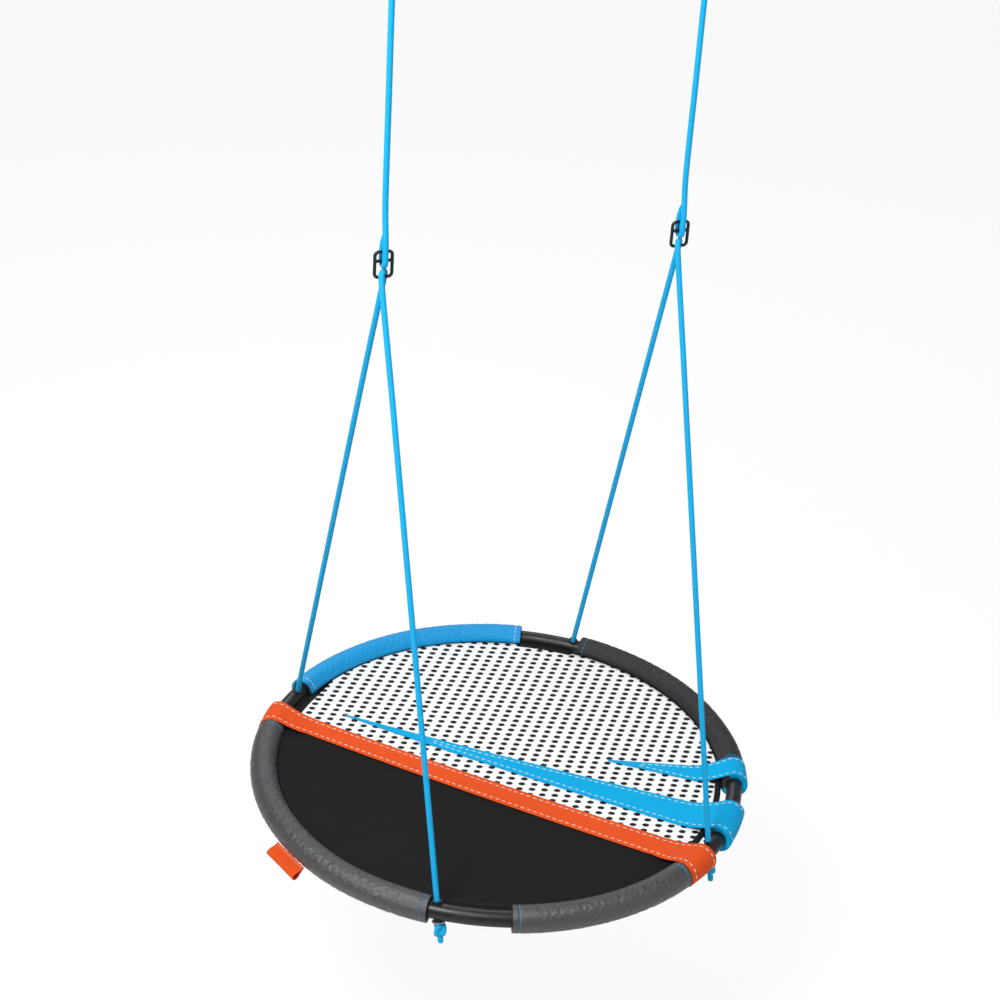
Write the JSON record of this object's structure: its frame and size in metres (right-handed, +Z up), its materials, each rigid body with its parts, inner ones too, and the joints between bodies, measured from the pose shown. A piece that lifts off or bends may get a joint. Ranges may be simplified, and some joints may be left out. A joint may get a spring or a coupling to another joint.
{
  "type": "platform swing",
  "caption": "Round platform swing: padded steel ring with a taut fabric seat, hung on rope triangles with adjuster rings from two beam hangers.",
  "frame": {"origin": "on the underside of the beam, midway between the two hangers", "axes": "+X along the beam to the right hanger, +Y to the back of the seat, +Z up"},
  "size_m": [1.0234, 1.016, 1.804],
  "materials": {
    "hanger_zinc": "zinc-plated steel",
    "bolt_steel": "zinc-plated steel",
    "thimble_steel": "satin zinc",
    "spigot_steel": "plain steel",
    "ring_black": "satin black coating",
    "tube_black": "satin black powder coating",
    "rope_blue": "braided polyester rope",
    "foam_dark": "closed-cell foam",
    "fabric_blue_dark": "woven polyester over padding",
    "fabric_charcoal": "woven polyester over padding",
    "fabric_grey": "woven polyester over padding",
    "mesh_white": "white weave with dark dots",
    "fabric_black": "plain woven polyester",
    "tape_black": "woven hem tape",
    "fabric_orange": "woven polyester, stitched edges",
    "fabric_blue_light": "woven polyester, stitched edges",
    "bush_black": "moulded nylon"
  },
  "bodies": {
    "hangers": {"hanger_left": "hanger_zinc", "hanger_right": "hanger_zinc", "pin_bolt_left": "bolt_steel", "pin_bolt_right": "bolt_steel", "lock_nut_left": "bolt_steel", "lock_nut_right": "bolt_steel"},
    "upper_ropes": {"thimble_left": "thimble_steel", "thimble_right": "thimble_steel", "upper_rope_left": "rope_blue", "upper_rope_right": "rope_blue", "adjuster_ring_left": "ring_black", "adjuster_ring_right": "ring_black"},
    "seat": {"leg_rope_left": "rope_blue", "leg_rope_right": "rope_blue", "rim_tube_back": "tube_black", "rim_tube_left": "tube_black", "rim_tube_front": "tube_black", "rim_tube_right": "tube_black", "rim_spigots": "spigot_steel", "rim_screws": "bolt_steel", "foam_back": "foam_dark", "foam_right": "foam_dark", "foam_front_left": "foam_dark", "foam_front_right": "foam_dark", "foam_band_collars": "foam_dark", "sleeve_back_blue": "fabric_blue_dark", "sleeve_right_charcoal": "fabric_charcoal", "sleeve_front_left_grey": "fabric_grey", "sleeve_front_right_grey": "fabric_grey", "mesh_panel": "mesh_white", "black_panel": "fabric_black", "mesh_panel_hem": "tape_black", "black_panel_hem": "tape_black", "orange_band": "fabric_orange", "wide_blue_band": "fabric_blue_light", "narrow_blue_band": "fabric_blue_light", "label_tab": "fabric_orange", "rope_bushes": "bush_black", "knot_washers": "bolt_steel", "stopper_knots": "rope_blue"}
  },
  "joints": [
    {"name": "swing", "type": "hinge", "parent": "hangers", "child": "upper_ropes", "pos_m": [0, 0, -0.04], "axis": [1, 0, 0], "range_deg": [-45, 45]},
    {"name": "seat_tilt", "type": "hinge", "parent": "upper_ropes", "child": "seat", "pos_m": [0, 0, -0.63], "axis": [1, 0, 0], "range_deg": [-20, 20]}
  ]
}
